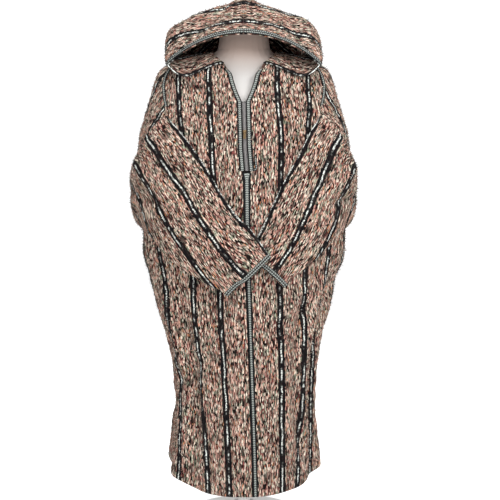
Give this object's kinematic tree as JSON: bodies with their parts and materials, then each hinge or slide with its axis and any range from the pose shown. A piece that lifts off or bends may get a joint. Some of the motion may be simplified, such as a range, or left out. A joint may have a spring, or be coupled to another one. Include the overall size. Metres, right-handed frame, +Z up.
{
  "type": "hooded djellaba robe of striped wool on a limbless dress form with a pole and round base",
  "caption": "Hooded djellaba of thick striped wool with its sleeves crossed in front, a zipped front slit and braid trims, on a limbless dress form.",
  "frame": {"origin": "centre of the underside of the form's round base", "axes": "+Z up; -Y is the front of the robe; +X is the wearer's left, the picture's right"},
  "size_m": [0.6719, 0.472, 1.5536],
  "materials": {
    "wool": "thick napped wool",
    "braid": "ribbed braid",
    "brass": "worn",
    "form": "matte",
    "stand": "satin"
  },
  "bodies": {
    "robe_on_form": {"back_panel": "wool", "front_left": "wool", "front_right": "wool", "sleeve_left": "wool", "sleeve_right": "wool", "hood_left": "wool", "hood_right": "wool", "centre_braid": "braid", "slit_braid_left": "braid", "slit_braid_right": "braid", "shoulder_braid_left": "braid", "shoulder_braid_right": "braid", "cuff_braid_left": "braid", "cuff_braid_right": "braid", "hood_braid_left": "braid", "hood_braid_right": "braid", "zip_left": "braid", "zip_right": "braid", "zip_slider": "brass", "form_torso": "form", "form_pole": "stand", "form_base": "stand"},
    "pull_tab": {"pull_tab": "brass"}
  },
  "joints": [
    {"name": "pull_tab_hinge", "type": "hinge", "parent": "robe_on_form", "child": "pull_tab", "pos_m": [0.00298, -0.14217, 1.13653], "axis": [1, 0, 0], "range_deg": [-165, 0]}
  ]
}
